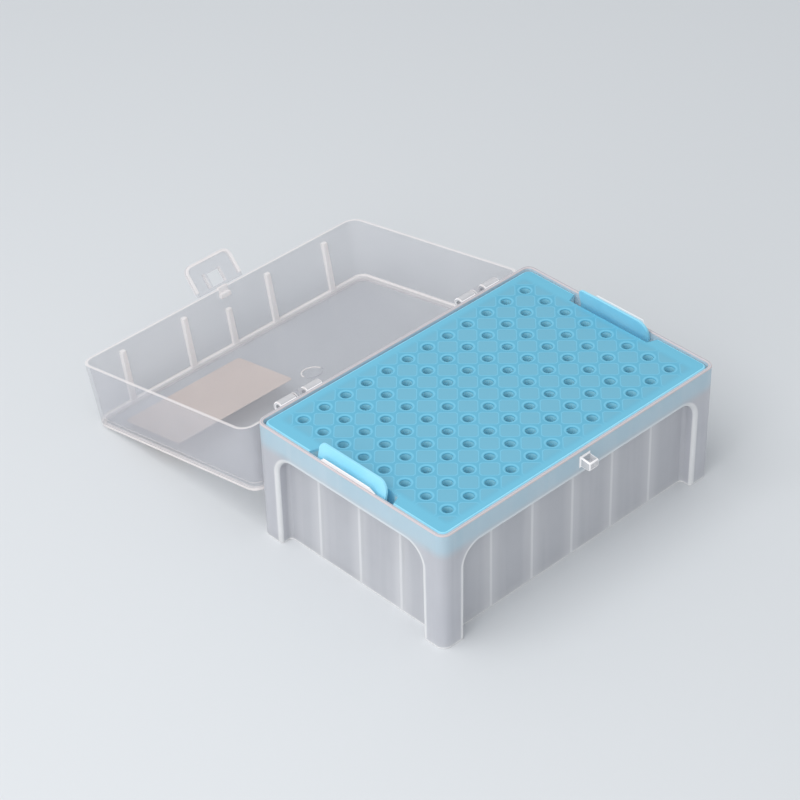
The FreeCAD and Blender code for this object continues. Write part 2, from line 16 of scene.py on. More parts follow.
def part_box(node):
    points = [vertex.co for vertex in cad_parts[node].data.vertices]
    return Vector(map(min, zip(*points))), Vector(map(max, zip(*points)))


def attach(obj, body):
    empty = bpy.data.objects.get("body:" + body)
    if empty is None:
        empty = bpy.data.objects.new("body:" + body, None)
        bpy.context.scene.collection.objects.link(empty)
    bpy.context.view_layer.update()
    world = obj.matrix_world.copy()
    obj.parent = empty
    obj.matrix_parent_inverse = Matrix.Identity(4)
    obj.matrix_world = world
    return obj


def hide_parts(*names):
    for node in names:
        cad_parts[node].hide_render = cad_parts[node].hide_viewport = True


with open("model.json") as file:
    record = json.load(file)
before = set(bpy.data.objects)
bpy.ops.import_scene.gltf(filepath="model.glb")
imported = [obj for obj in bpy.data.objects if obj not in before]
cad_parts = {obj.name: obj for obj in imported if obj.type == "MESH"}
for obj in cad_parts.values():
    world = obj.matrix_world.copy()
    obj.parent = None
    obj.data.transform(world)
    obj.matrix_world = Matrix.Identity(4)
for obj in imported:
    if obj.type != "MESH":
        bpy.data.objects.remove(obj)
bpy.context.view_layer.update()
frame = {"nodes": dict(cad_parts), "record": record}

MM = 0.001
for name in frame["nodes"]:
    low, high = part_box(name)
    print(name, "from", [round(v / MM, 1) for v in low], "to", [round(v / MM, 1) for v in high])

# %% [markdown]
# ## Ways of working
#
# Every piece is modelled as by hand: a primitive is added, then extruded, inset, bevelled, cut
# and bridged in edit mode. An operator acts on all that is selected, so a few helpers deselect
# first and then pick vertices, edges or faces by where they are.

# %% Add a primitive and go into edit mode
def only(piece):
    """Select one piece and nothing else, and make it the active one."""
    bpy.ops.object.select_all(action="DESELECT")
    piece.select_set(True)
    bpy.context.view_layer.objects.active = piece


def add(primitive, name, place=(0, 0, 0), spans=(1, 1, 1), **settings):
    """Add one primitive, alone in the selection. Places and sizes are in millimetres."""
    if bpy.context.mode != "OBJECT":
        bpy.ops.object.mode_set(mode="OBJECT")
    bpy.ops.object.select_all(action="DESELECT")
    primitive(location=Vector(place) * MM, **settings)
    piece = bpy.context.object
    piece.name = piece.data.name = name
    piece.scale = Vector(spans) * MM
    settle()
    return piece


def settle():
    """Put the active piece's place, turn and size into its mesh, so its object is at the origin."""
    bpy.ops.object.transform_apply(location=True, rotation=True, scale=True)


def edit(piece=None):
    """Go into edit mode on one piece, or back to object mode with no piece given."""
    if piece is None:
        bpy.ops.object.mode_set(mode="OBJECT")
        return
    only(piece)
    bpy.ops.object.mode_set(mode="EDIT")
    bpy.ops.mesh.select_all(action="SELECT")


# %% Select by place
def pick(kind, test):
    """Select the vertices, edges or faces whose middle, in millimetres, passes a test."""
    bpy.ops.mesh.select_mode(type=kind)
    bpy.ops.mesh.select_all(action="DESELECT")
    mesh = bmesh.from_edit_mesh(bpy.context.object.data)
    parts = {"VERT": mesh.verts, "EDGE": mesh.edges, "FACE": mesh.faces}[kind]
    count = 0
    for part in parts:
        if kind == "VERT":
            middle, lean = part.co, part.normal
        elif kind == "EDGE":
            start, stop = (vertex.co for vertex in part.verts)
            middle, lean = (start + stop) / 2, stop - start
        else:
            middle, lean = part.calc_center_bounds(), part.normal
        if test(middle / MM, lean.normalized()):
            part.select_set(True)
            count += 1
    mesh.select_flush_mode()
    bmesh.update_edit_mesh(bpy.context.object.data)
    return count


def unpick(test):
    """Drop from the selection the edges whose middle passes a test."""
    mesh = bmesh.from_edit_mesh(bpy.context.object.data)
    for edge in mesh.edges:
        if edge.select and test((edge.verts[0].co + edge.verts[1].co) / 2 / MM):
            edge.select_set(False)
    bmesh.update_edit_mesh(bpy.context.object.data)


# %% Steps in millimetres
def extrude(x=0, y=0, z=0):
    """Extrude what is selected, as a face, by a step in millimetres."""
    bpy.ops.mesh.extrude_region_move(TRANSFORM_OT_translate={"value": Vector((x, y, z)) * MM})


def extrude_edges(x=0, y=0, z=0):
    """Extrude the selected edges alone, so that each leaves one new face behind it."""
    bpy.ops.mesh.extrude_edges_move(TRANSFORM_OT_translate={"value": Vector((x, y, z)) * MM})


def resize(x=1, y=1, z=1, about=(0, 0, 0)):
    """Scale what is selected about a point."""
    bpy.ops.transform.resize(value=(x, y, z), center_override=Vector(about) * MM)


def bevel(width, segments=2):
    """Round the selected edges."""
    bpy.ops.mesh.bevel(offset=width * MM, segments=segments, affect="EDGES", clamp_overlap=True)


def round_corners(radius, segments):
    """Turn the corners of the selected outline into arcs of one radius."""
    bpy.ops.mesh.bevel(offset=radius * MM, offset_type="ABSOLUTE", segments=segments, affect="VERTICES")


# %% Modifiers, shading and a fixed order
def put_in_order(piece):
    """Sort a mesh's vertices and faces, because the order a Boolean leaves them in can vary."""
    mesh = piece.data
    order = sorted(range(len(mesh.vertices)), key=lambda i: tuple(mesh.vertices[i].co))
    rank = {old: new for new, old in enumerate(order)}
    faces = []
    for face in mesh.polygons:
        ring = [rank[i] for i in face.vertices]
        start = ring.index(min(ring))
        faces.append((ring[start:] + ring[:start], face.material_index))
    sorted_mesh = bmesh.new()
    points = [sorted_mesh.verts.new(mesh.vertices[i].co) for i in order]
    for ring, slot in sorted(faces):
        sorted_mesh.faces.new([points[i] for i in ring]).material_index = slot
    sorted_mesh.to_mesh(mesh)
    sorted_mesh.free()


def modify(piece, kind, **settings):
    """Add one modifier to a piece and apply it."""
    only(piece)
    modifier = piece.modifiers.new(kind.lower(), kind)
    for name, setting in settings.items():
        setattr(modifier, name, setting)
    bpy.ops.object.modifier_apply(modifier=modifier.name)
    if kind == "BOOLEAN":
        put_in_order(piece)


def smooth(piece, degrees=35):
    """Shade a piece smooth across its gentle edges, with its large faces kept flat."""
    only(piece)
    bpy.ops.object.shade_smooth_by_angle(angle=math.radians(degrees))
    modify(piece, "WEIGHTED_NORMAL", keep_sharp=True)


def tell(piece):
    """Print how many faces a piece has and the box it fills, in millimetres."""
    low = [round(min(v.co[i] for v in piece.data.vertices) / MM, 2) for i in range(3)]
    high = [round(max(v.co[i] for v in piece.data.vertices) / MM, 2) for i in range(3)]
    print(piece.name, len(piece.data.polygons), "faces, from", low, "to", high)


# %% [markdown]
# ## Materials
#
# The whole box is moulded polypropylene. Without pigment it is milky: part of the light passes
# straight through a thin wall, and the rest is scattered in it. A wall of a millimetre doesn't
# bend what is seen through it, so a Principled shader's Alpha says how much of each wall is
# there, and lamps shine through it too. Each wall has an outer and an inner face, so its Alpha
# counts twice. Where the plastic is thick, or seen edge on, it turns whiter and denser, so each
# plastic has a second, whiter material for edges and ribs, which also paints highlights along
# the edges. One small function adds a node, gives it its settings and links its sockets.

# %% Helpers for every material
def linear(hex_code):
    """An sRGB hex colour as the linear RGBA that the shader wants."""
    values = [int(hex_code[i:i + 2], 16) / 255 for i in (1, 3, 5)]
    return [v / 12.92 if v <= 0.04045 else ((v + 0.055) / 1.055) ** 2.4 for v in values] + [1.0]


def add_node(tree, kind, sockets=None, **settings):
    """Add a shader node. A socket is given a value, or another node's output to link to."""
    node = tree.nodes.new(kind)
    for name, setting in settings.items():
        setattr(node, name, setting)
    for key, value in (sockets or {}).items():
        if isinstance(value, bpy.types.NodeSocket):
            tree.links.new(value, node.inputs[key])
        else:
            node.inputs[key].default_value = value
    return node


def new_material(name):
    material = bpy.data.materials.new(name)
    material.use_nodes = True
    material.node_tree.nodes.clear()
    return material, material.node_tree


def finish_material(tree, shader):
    add_node(tree, "ShaderNodeOutputMaterial", {"Surface": shader.outputs["BSDF"]})


def dress(piece, *materials, slot=None):
    """Give a piece its materials, in the order of its slots, and one of them to every face."""
    piece.data.materials.clear()
    for material in materials:
        piece.data.materials.append(material)
    if slot is not None:
        for face in piece.data.polygons:
            face.material_index = slot


# %% [markdown]
# Patterns are worked out from the piece's own coordinates, in millimetres, with Math nodes. A
# small function turns a sum into nodes, and another makes a soft step from 0 to 1.

# %% Arithmetic on coordinates
def work(tree, operation, *values):
    """One Math node on numbers or outputs, and what comes out of it."""
    return add_node(tree, "ShaderNodeMath", dict(enumerate(values)), operation=operation).outputs[0]


def coordinates(tree):
    """The piece's own x, y and z in millimetres."""
    where = add_node(tree, "ShaderNodeTexCoord").outputs["Object"]
    axes = add_node(tree, "ShaderNodeSeparateXYZ", {0: where}).outputs
    return where, [work(tree, "MULTIPLY", axis, 1 / MM) for axis in axes]


def soft_step(tree, value, start, end):
    """0 at start and 1 at end, with a soft change between them."""
    return add_node(tree, "ShaderNodeMapRange", {"Value": value, "From Min": start, "From Max": end},
                    interpolation_type="SMOOTHSTEP").outputs["Result"]


def tint(tree, amount, first, second):
    """A mix of two colours, given as hex codes or as outputs."""
    colours = [linear(c) if isinstance(c, str) else c for c in (first, second)]
    return add_node(tree, "ShaderNodeMix", {"Factor": amount, 6: colours[0], 7: colours[1]},
                    data_type="RGBA").outputs[2]


# %% Frosted polypropylene for the base
WEB_PITCH = 18.0
PANEL_X, PANEL_Y = 56.3, 36.35
WALL_X, WALL_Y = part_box("base")[1][0] / MM, 41.05
BAR_RISE, LEAN = 1.8, 0.4
LEDGE_Z, RIM_Z = 36.3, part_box("base")[1][2] / MM - BAR_RISE
POST, ARCH, ARCH_TOP = 9.2, 7.0, 35.1


def near_webs(tree, along, across, half, panel):
    """Distance along a side panel from the nearest web behind it, or half a pitch with none."""
    apart = work(tree, "PINGPONG", work(tree, "ADD", along, WEB_PITCH * 10), WEB_PITCH / 2)
    depth = work(tree, "ABSOLUTE", work(tree, "SUBTRACT", work(tree, "ABSOLUTE", across), panel))
    off_panel = soft_step(tree, depth, 0.6, 0.9)
    beyond = soft_step(tree, work(tree, "ABSOLUTE", along), half + 6, half + 7)
    away = work(tree, "MULTIPLY", work(tree, "MAXIMUM", off_panel, beyond), WEB_PITCH / 2)
    return work(tree, "MAXIMUM", apart, away)


def near_arch(tree, along, across, z, half, panel):
    """1 along the outer edge of one side's arch, over its rounding, fading to 0 beyond it."""
    over = work(tree, "SUBTRACT", work(tree, "ABSOLUTE", along), half - POST - ARCH)
    over = work(tree, "MAXIMUM", over, 0.0)
    above = work(tree, "MAXIMUM", work(tree, "SUBTRACT", z, ARCH_TOP - ARCH), 0.0)
    square = work(tree, "ADD", work(tree, "MULTIPLY", over, over),
                  work(tree, "MULTIPLY", above, above))
    from_edge = work(tree, "ABSOLUTE", work(tree, "SUBTRACT", work(tree, "POWER", square, 0.5), ARCH))
    out = work(tree, "SUBTRACT", work(tree, "ABSOLUTE", across), panel - LEAN)
    out = work(tree, "SUBTRACT", out, work(tree, "MULTIPLY", z, LEAN / RIM_Z))
    return work(tree, "MULTIPLY", soft_step(tree, from_edge, 1.9, 1.2), soft_step(tree, out, 3.5, 3.9))


def frosted_polypropylene():
    material, tree = new_material("frosted_polypropylene")
    where, (x, y, z) = coordinates(tree)
    # The posts, rim and band are seen through two walls or more, so they are painted a little
    # whiter than the panels, which have only the dim inside of the box behind them: painted light.
    proud = work(tree, "MAXIMUM", work(tree, "SUBTRACT", work(tree, "ABSOLUTE", x), PANEL_X),
                 work(tree, "SUBTRACT", work(tree, "ABSOLUTE", y), PANEL_Y))
    colour = tint(tree, soft_step(tree, proud, 0.4, 2.5), "#CBCCD2", "#CDCED5")
    # Painted highlight: light gathers in the rounded edges of the arches and round the feet.
    edge = work(tree, "MAXIMUM", near_arch(tree, x, y, z, WALL_X, PANEL_Y),
                near_arch(tree, y, x, z, WALL_Y, PANEL_X))
    edge = work(tree, "MAXIMUM", edge, soft_step(tree, z, 1.1, 0.4))
    colour = tint(tree, edge, colour, "#FFFFFF")
    # A web behind a panel carries light out, painted as a bright line with a soft glow on each side.
    webs = work(tree, "MINIMUM", near_webs(tree, x, y, 2 * WEB_PITCH, PANEL_Y),
                near_webs(tree, y, x, WEB_PITCH, PANEL_X))
    below = soft_step(tree, z, LEDGE_Z + 0.5, LEDGE_Z - 2.0)
    glow = work(tree, "MULTIPLY", soft_step(tree, webs, 5.5, 0.0), 0.45)
    line = work(tree, "MAXIMUM", glow, soft_step(tree, webs, 0.9, 0.3))
    colour = tint(tree, work(tree, "MULTIPLY", line, below), colour, "#F8F8FA")
    # The blue skirt of the tray stands just inside the band, and the light it sends through the
    # wall is painted as a pale blue tint up to the rim.
    band = work(tree, "MULTIPLY", soft_step(tree, z, LEDGE_Z - 2.0, LEDGE_Z + 2.5),
                soft_step(tree, z, RIM_Z - 0.1, RIM_Z - 0.8))
    on_wall = soft_step(tree, work(tree, "ABSOLUTE", y), WALL_Y + 0.3, WALL_Y + 0.1)
    bluish = work(tree, "MULTIPLY", work(tree, "MULTIPLY", band, on_wall), 0.8)
    colour = tint(tree, bluish, colour, "#BFE0EF")
    # The catch and the knuckles stand out from the wall, solid and lit from all sides, so they are
    # painted lighter: painted light.
    colour = tint(tree, on_wall, "#DFDDDF", colour)
    # The melt sets unevenly, which leaves faint clouds of about 15 mm. The walls were drawn
    # upwards out of the mould, which leaves fainter upright streaks about 3 mm wide.
    cloud = add_node(tree, "ShaderNodeTexNoise", {"Vector": where, "Scale": 70.0, "Detail": 2.0})
    colour = tint(tree, work(tree, "MULTIPLY", cloud.outputs["Fac"], 0.25), colour, "#F4F4F6")
    stretched = work(tree, "MULTIPLY", z, 0.05)
    drawn = add_node(tree, "ShaderNodeCombineXYZ", {"X": x, "Y": y, "Z": stretched}).outputs[0]
    streak = add_node(tree, "ShaderNodeTexNoise", {"Vector": drawn, "Scale": 0.35, "Detail": 2.0})
    upright = soft_step(tree, streak.outputs["Fac"], 0.45, 0.7)
    colour = tint(tree, work(tree, "MULTIPLY", upright, 0.1), colour, "#F4F4F6")
    # The mould is spark eroded: a fine grain, drawn at about 0.4 mm so that it shows.
    grain = add_node(tree, "ShaderNodeTexNoise", {"Vector": where, "Scale": 2500.0, "Detail": 2.0})
    bump = add_node(tree, "ShaderNodeBump", {
        "Height": grain.outputs["Fac"], "Strength": 0.12, "Distance": 0.05 * MM})
    shader = add_node(tree, "ShaderNodeBsdfPrincipled", {
        "Base Color": colour, "Roughness": 0.42, "IOR": 1.49, "Alpha": 0.66,
        "Normal": bump.outputs["Normal"]})
    finish_material(tree, shader)
    return material


# %% The same plastic at edges, painted whiter as a highlight where light leaves it
def polypropylene_edge_highlight():
    material, tree = new_material("polypropylene_edge_highlight")
    where, (_, _, z) = coordinates(tree)
    cloud = add_node(tree, "ShaderNodeTexNoise", {"Vector": where, "Scale": 120.0, "Detail": 1.0})
    colour = tint(tree, cloud.outputs["Fac"], "#F6F4F5", "#FFFCFB")
    # The rim is a thin lip with no post below it, so it gathers less light: a painted shade,
    # pinkish grey.
    lip = work(tree, "MULTIPLY", soft_step(tree, z, RIM_Z - 1.6, RIM_Z - 0.8),
               soft_step(tree, z, RIM_Z + 0.3, RIM_Z + 0.1))
    colour = tint(tree, lip, colour, "#D3C6C6")
    shader = add_node(tree, "ShaderNodeBsdfPrincipled", {
        "Base Color": colour, "Roughness": 0.3, "IOR": 1.49})
    finish_material(tree, shader)
    return material


# %% Clear polypropylene for the lid and latch
def clear_polypropylene():
    material, tree = new_material("clear_polypropylene")
    where, _ = coordinates(tree)
    # The melt flows from the gate and leaves the clear wall a little cloudy, in patches of 20 mm.
    cloud = add_node(tree, "ShaderNodeTexNoise", {"Vector": where, "Scale": 50.0, "Detail": 1.0})
    colour = tint(tree, cloud.outputs["Fac"], "#C2C3CA", "#D2D2D8")
    shader = add_node(tree, "ShaderNodeBsdfPrincipled", {
        "Base Color": colour, "Roughness": 0.18, "IOR": 1.49, "Alpha": 0.27})
    finish_material(tree, shader)
    return material


# %% The clear plastic where it is thick, painted whiter also as a highlight: ribs, boss and rim
def thick_and_highlight_polypropylene():
    material, tree = new_material("thick_and_highlight_polypropylene")
    where, _ = coordinates(tree)
    cloud = add_node(tree, "ShaderNodeTexNoise", {"Vector": where, "Scale": 150.0, "Detail": 1.0})
    colour = tint(tree, cloud.outputs["Fac"], "#F6EFED", "#FFF9F7")
    shader = add_node(tree, "ShaderNodeBsdfPrincipled", {
        "Base Color": colour, "Roughness": 0.25, "IOR": 1.49, "Alpha": 0.6})
    finish_material(tree, shader)
    return material


# %% Blue polypropylene for the tray
TAB_RISE, TAB_HALF = 4.8, 14.8
PLATE_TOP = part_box("tray")[1][2] / MM - TAB_RISE
PITCH, COLUMNS, ROWS = 9.0, 12, 8
BLOCK_X, BLOCK_Y = PITCH * COLUMNS / 2, PITCH * ROWS / 2
LIP, CELL_WALL = 2.25, 4.3


def blue_polypropylene():
    material, tree = new_material("blue_polypropylene")
    where, (x, y, z) = coordinates(tree)
    # Distance along X and along Y from the nearest middle of four holes.
    from_x = work(tree, "PINGPONG", work(tree, "ADD", x, PITCH * 10), PITCH / 2)
    from_y = work(tree, "PINGPONG", work(tree, "ADD", y, PITCH * 10), PITCH / 2)
    sideways = work(tree, "ADD", from_x, from_y)
    straight = work(tree, "POWER", work(tree, "ADD", work(tree, "MULTIPLY", from_x, from_x),
                                        work(tree, "MULTIPLY", from_y, from_y)), 0.5)
    cell = work(tree, "MAXIMUM", sideways, work(tree, "MULTIPLY", straight, 1.12))
    over_x = work(tree, "SUBTRACT", work(tree, "ABSOLUTE", x), BLOCK_X)
    over_y = work(tree, "SUBTRACT", work(tree, "ABSOLUTE", y), BLOCK_Y)
    inside = work(tree, "MULTIPLY", soft_step(tree, over_x, 1.5, -1.5),
                  soft_step(tree, over_y, 1.5, -1.5))
    # Light and shade through the plate are painted. The plain margin has nothing below it and is
    # painted paler. Between four holes the plate is thin and painted greyer, and the wall of each
    # cell under the plate is painted as a thin pale line of light.
    thin = work(tree, "MULTIPLY", soft_step(tree, cell, 4.15, 3.75), inside)
    from_wall = work(tree, "ABSOLUTE", work(tree, "SUBTRACT", cell, CELL_WALL))
    wall = work(tree, "MULTIPLY", soft_step(tree, from_wall, 0.35, 0.05), inside)
    colour = tint(tree, inside, "#6BBBD6", "#5CAECB")
    colour = tint(tree, thin, colour, "#6DB1C9")
    colour = tint(tree, work(tree, "MULTIPLY", wall, 0.6), colour, "#86CBE3")
    # A pale ring is painted round the lip of each hole, as a highlight on its dish.
    hole_x = work(tree, "SUBTRACT", PITCH / 2, from_x)
    hole_y = work(tree, "SUBTRACT", PITCH / 2, from_y)
    from_bore = work(tree, "POWER", work(tree, "ADD", work(tree, "MULTIPLY", hole_x, hole_x),
                                         work(tree, "MULTIPLY", hole_y, hole_y)), 0.5)
    from_lip = work(tree, "ABSOLUTE", work(tree, "SUBTRACT", from_bore, LIP))
    ring = work(tree, "MULTIPLY", soft_step(tree, from_lip, 0.45, 0.1), inside)
    colour = tint(tree, work(tree, "MULTIPLY", ring, 0.5), colour, "#84D0EA")
    # Light comes into the holes through the thin sleeves, so a paler glow is painted on their walls.
    deep = soft_step(tree, z, PLATE_TOP - 0.3, PLATE_TOP - 0.7)
    colour = tint(tree, deep, colour, "#9EDDEE")
    # The pigment isn't quite evenly mixed: faint patches of about 25 mm.
    cloud = add_node(tree, "ShaderNodeTexNoise", {"Vector": where, "Scale": 40.0, "Detail": 1.0})
    colour = tint(tree, work(tree, "MULTIPLY", cloud.outputs["Fac"], 0.2), colour, "#7CC6E2")
    shader = add_node(tree, "ShaderNodeBsdfPrincipled", {
        "Base Color": colour, "Roughness": 0.45, "IOR": 1.49})
    finish_material(tree, shader)
    return material


# %% The blue plastic painted paler where it is thin and lit from behind, and as a highlight on edges: tabs and edges
def thin_and_lit_blue_polypropylene():
    material, tree = new_material("thin_and_lit_blue_polypropylene")
    where, (_, y, z) = coordinates(tree)
    cloud = add_node(tree, "ShaderNodeTexNoise", {"Vector": where, "Scale": 120.0, "Detail": 1.0})
    colour = tint(tree, cloud.outputs["Fac"], "#8CD8F2", "#A4E4F8")
    # Down in the notches beside a tab a paler glow is painted, as in the holes.
    deep = work(tree, "MULTIPLY", soft_step(tree, z, PLATE_TOP - 0.5, PLATE_TOP - 1.5),
                soft_step(tree, work(tree, "ABSOLUTE", y), TAB_HALF - 0.1, TAB_HALF + 0.3))
    colour = tint(tree, deep, colour, "#CDF1FB")
    shader = add_node(tree, "ShaderNodeBsdfPrincipled", {
        "Base Color": colour, "Roughness": 0.32, "IOR": 1.49})
    finish_material(tree, shader)
    return material


# %% Paper for the label
def label_paper():
    material, tree = new_material("label_paper")
    where, _ = coordinates(tree)
    fibre = add_node(tree, "ShaderNodeTexNoise", {"Vector": where, "Scale": 900.0, "Detail": 3.0})
    colour = tint(tree, fibre.outputs["Fac"], "#F0D9C9", "#FAE8DB")
    shader = add_node(tree, "ShaderNodeBsdfPrincipled", {"Base Color": colour, "Roughness": 0.8})
    finish_material(tree, shader)
    return material


# %% Make them all
FROSTED, EDGE = frosted_polypropylene(), polypropylene_edge_highlight()
CLEAR, THICK_AND_HIGHLIGHT = clear_polypropylene(), thick_and_highlight_polypropylene()
BLUE, THIN_AND_LIT_BLUE = blue_polypropylene(), thin_and_lit_blue_polypropylene()
PAPER = label_paper()
print([material.name for material in bpy.data.materials])

# %% [markdown]
# ## The tray
#
# The tray is one moulding: a plate with 96 holes, a sleeve below each hole, a shallow dish round
# each mouth, and a skirt. One square cell with its hole is modelled here, and two Array modifiers
# repeat it 12 by 8 times. Each ring of edges is extruded from the one before, and two loops with
# as many points each are bridged, which keeps the faces few and the hole round.

# %% Sizes of the tray
HOLE, DISH, DISH_DEPTH = 1.75, 2.6, 0.2
ROUND = 16
PLATE, WEB, SKIRT = 1.2, 1.0, 1.0
TRAY_X, TRAY_Y = (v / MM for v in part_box("tray")[1][:2])
TRAY_ROUND = 2.5
SEAT = 7.4
SKIRT_FOOT = PLATE_TOP - SEAT
SLEEVE_FOOT = SKIRT_FOOT + 0.2
print("tray plate at", round(PLATE_TOP, 2), "with", COLUMNS * ROWS, "holes")

# %% The mouth of one hole, bridged to its square
FIRST = Vector((PITCH / 2 - BLOCK_X, PITCH / 2 - BLOCK_Y, PLATE_TOP))
# Two places that are nearer than this are taken as one.
CLOSE = 0.01


def level(p, height):
    return abs(p.z - height) < CLOSE


def from_hole(p):
    return math.hypot(p.x - FIRST.x, p.y - FIRST.y)


def inside_square(p):
    return max(abs(p.x - FIRST.x), abs(p.y - FIRST.y)) < PITCH / 2 - CLOSE


def from_outline(p, half_x, half_y, radius):
    """How far outside a rounded rectangle a point is."""
    x, y = abs(p.x) - half_x + radius, abs(p.y) - half_y + radius
    return math.hypot(max(x, 0), max(y, 0)) + min(max(x, y), 0) - radius


cells = add(bpy.ops.mesh.primitive_grid_add, "tray_cells", FIRST, (PITCH, PITCH, 1),
            x_subdivisions=4, y_subdivisions=4, size=1)
edit(cells)
pick("VERT", lambda p, n: inside_square(p))
bpy.ops.mesh.delete(type="VERT")
bpy.ops.mesh.primitive_circle_add(vertices=ROUND, radius=DISH * MM, location=FIRST * MM)
bpy.ops.mesh.select_all(action="SELECT")
bpy.ops.mesh.bridge_edge_loops()
print("edges round the mouth:", pick("EDGE", lambda p, n: from_hole(p) < DISH))
extrude_edges(z=-DISH_DEPTH)
resize(HOLE / DISH, HOLE / DISH, about=FIRST)

# %% The sleeve's foot, its bore, its four walls and the plate's underside
FOOT = Vector((FIRST.x, FIRST.y, SLEEVE_FOOT))
bpy.ops.mesh.primitive_plane_add(size=PITCH * MM, location=FOOT * MM)
round_corners((PITCH - WEB) / 2, segments=1)
bpy.ops.mesh.delete(type="ONLY_FACE")
pick("EDGE", lambda p, n: level(p, SLEEVE_FOOT))
bpy.ops.mesh.subdivide(number_cuts=1)
bpy.ops.mesh.primitive_circle_add(vertices=ROUND, radius=HOLE * MM, location=FOOT * MM)
pick("EDGE", lambda p, n: level(p, SLEEVE_FOOT))
bpy.ops.mesh.bridge_edge_loops()
pick("EDGE", lambda p, n: level(p, PLATE_TOP - DISH_DEPTH))
extrude_edges(z=SLEEVE_FOOT - PLATE_TOP + DISH_DEPTH)
bpy.ops.mesh.select_all(action="SELECT")
bpy.ops.mesh.remove_doubles(threshold=CLOSE * MM)
pick("EDGE", lambda p, n: level(p, SLEEVE_FOOT) and inside_square(p) and from_hole(p) > DISH + 0.4
     and abs(abs(n.x) - abs(n.y)) < CLOSE)
extrude_edges(z=PLATE_TOP - PLATE - SLEEVE_FOOT)
for sx in (-1, 1):
    for sy in (-1, 1):
        pick("EDGE", lambda p, n: level(p, PLATE_TOP - PLATE)
             and sx * (p.x - FIRST.x) > 0 and sy * (p.y - FIRST.y) > 0)
        extrude_edges(x=sx * (PITCH - WEB) / 4, y=sy * (PITCH - WEB) / 4)
        bpy.ops.mesh.merge(type="COLLAPSE")
edit()
tell(cells)

# %% Twelve by eight cells, closed at the sides
for count, step in ((COLUMNS, (PITCH * MM, 0, 0)), (ROWS, (0, PITCH * MM, 0))):
    modify(cells, "ARRAY", count=count, use_relative_offset=False, use_constant_offset=True,
           constant_offset_displace=step, use_merge_vertices=True, merge_threshold=CLOSE * MM)
edit(cells)
for sx in (-1, 1):
    for sy in (-1, 1):
        pick("VERT", lambda p, n: sx * p.x > BLOCK_X - CLOSE and sy * p.y > BLOCK_Y - CLOSE)
        bpy.ops.mesh.edge_face_add()
for axis, block in ((0, BLOCK_X), (1, BLOCK_Y)):
    for side in (-1, 1):
        pick("EDGE", lambda p, n: side * p[axis] > block - CLOSE)
        bpy.ops.mesh.edge_face_add()
edit()
tell(cells)

# %% [markdown]
# The plate's margin and the skirt are drawn as one skin, which a Solidify modifier then thickens
# inwards. A bite on each short side leaves room for a finger tab, and for the slot that lets the
# tab be squeezed inwards. The pieces are united at the end, so each runs a little way into the
# next and no two of them share a plane.

# %% The margin and the skirt
SLOT = 3.2
SLOT_X = TRAY_X - SKIRT - SLOT
BITE_INNER, BITE_OUTER = 16.9, 18.5
# A piece laps into the next one by LAP, and its faces stay SHY of the next one's planes.
LAP, SHY = 0.25, 0.005
rim = add(bpy.ops.mesh.primitive_plane_add, "tray_rim", (0, 0, PLATE_TOP - SHY),
          (2 * TRAY_X, 2 * TRAY_Y, 1), size=1)
edit(rim)
round_corners(TRAY_ROUND, segments=5)
for along, cuts in (((1, 0, 0), (BLOCK_X - LAP, SLOT_X)), ((0, 1, 0), (BLOCK_Y - LAP, BITE_OUTER))):
    for cut in cuts:
        for side in (-1, 1):
            bpy.ops.mesh.select_all(action="SELECT")
            bpy.ops.mesh.bisect(plane_co=Vector(along) * side * cut * MM, plane_no=along)
pick("FACE", lambda p, n: abs(p.x) < BLOCK_X and abs(p.y) < BLOCK_Y)
bpy.ops.mesh.delete(type="FACE")
pick("FACE", lambda p, n: abs(p.x) > SLOT_X and abs(p.y) < BITE_OUTER)
bpy.ops.mesh.delete(type="FACE")
pick("VERT", lambda p, n: abs(abs(p.x) - SLOT_X) < CLOSE and abs(abs(p.y) - BITE_OUTER) < CLOSE)
resize(y=BITE_INNER / BITE_OUTER)
bpy.ops.mesh.select_all(action="SELECT")
bpy.ops.mesh.region_to_loop()
unpick(lambda p: abs(p.x) < BLOCK_X + CLOSE and abs(p.y) < BLOCK_Y + CLOSE)
extrude_edges(z=-SEAT)
edit()
modify(rim, "SOLIDIFY", thickness=SKIRT * MM, offset=-1, use_even_offset=True)
edit(rim)
print("edges to round:", pick("EDGE", lambda p, n: level(p, PLATE_TOP) and abs(
    from_outline(p, TRAY_X, TRAY_Y, TRAY_ROUND)) < 0.06))
bevel(0.8, segments=3)
bpy.ops.mesh.select_all(action="SELECT")
bpy.ops.mesh.quads_convert_to_tris()
edit()
dress(rim, BLUE, THIN_AND_LIT_BLUE)
# The rounded edge takes the paler blue as a painted highlight, and the notch walls take it as painted
# light through the thin plastic.
for face in rim.data.polygons:
    at_notch = abs(face.center.y) < (BITE_OUTER + 0.1) * MM and abs(face.normal.z) < 0.1
    if at_notch or 0.1 < abs(face.normal.z) < 0.99:
        face.material_index = 1
tell(rim)

# %% Webs from the outer holes to the skirt
WEB_LAP = 0.4
webs = []
for count, row_axis in ((COLUMNS, 0), (ROWS, 1)):
    start, stop = (BLOCK_Y, TRAY_Y) if row_axis == 0 else (BLOCK_X, SLOT_X)
    start, stop = start - LAP, stop - WEB_LAP
    height = PLATE_TOP - PLATE - SLEEVE_FOOT + WEB_LAP
    for side in (-1, 1):
        place, spans = Vector(FIRST), Vector((WEB - 4 * SHY, WEB - 4 * SHY, height))
        place[1 - row_axis] = side * (start + stop) / 2
        spans[1 - row_axis] = stop - start
        place.z = SLEEVE_FOOT + SHY + height / 2
        web = add(bpy.ops.mesh.primitive_cube_add, "tray_web", place, spans, size=1)
        step = Vector((0, 0, 0))
        step[row_axis] = PITCH * MM
        modify(web, "ARRAY", count=count, use_relative_offset=False, use_constant_offset=True,
               constant_offset_displace=step)
        webs.append(web)
print(len(webs), "rows of webs")

# %% [markdown]
# Each finger tab starts as a low block on the skirt. Its top face is extruded straight up, then
# up and inwards, so the tab leans over the plate. Its upper corner at the catch's side is well
# rounded for the finger, and the one at the hinge's side only a little.

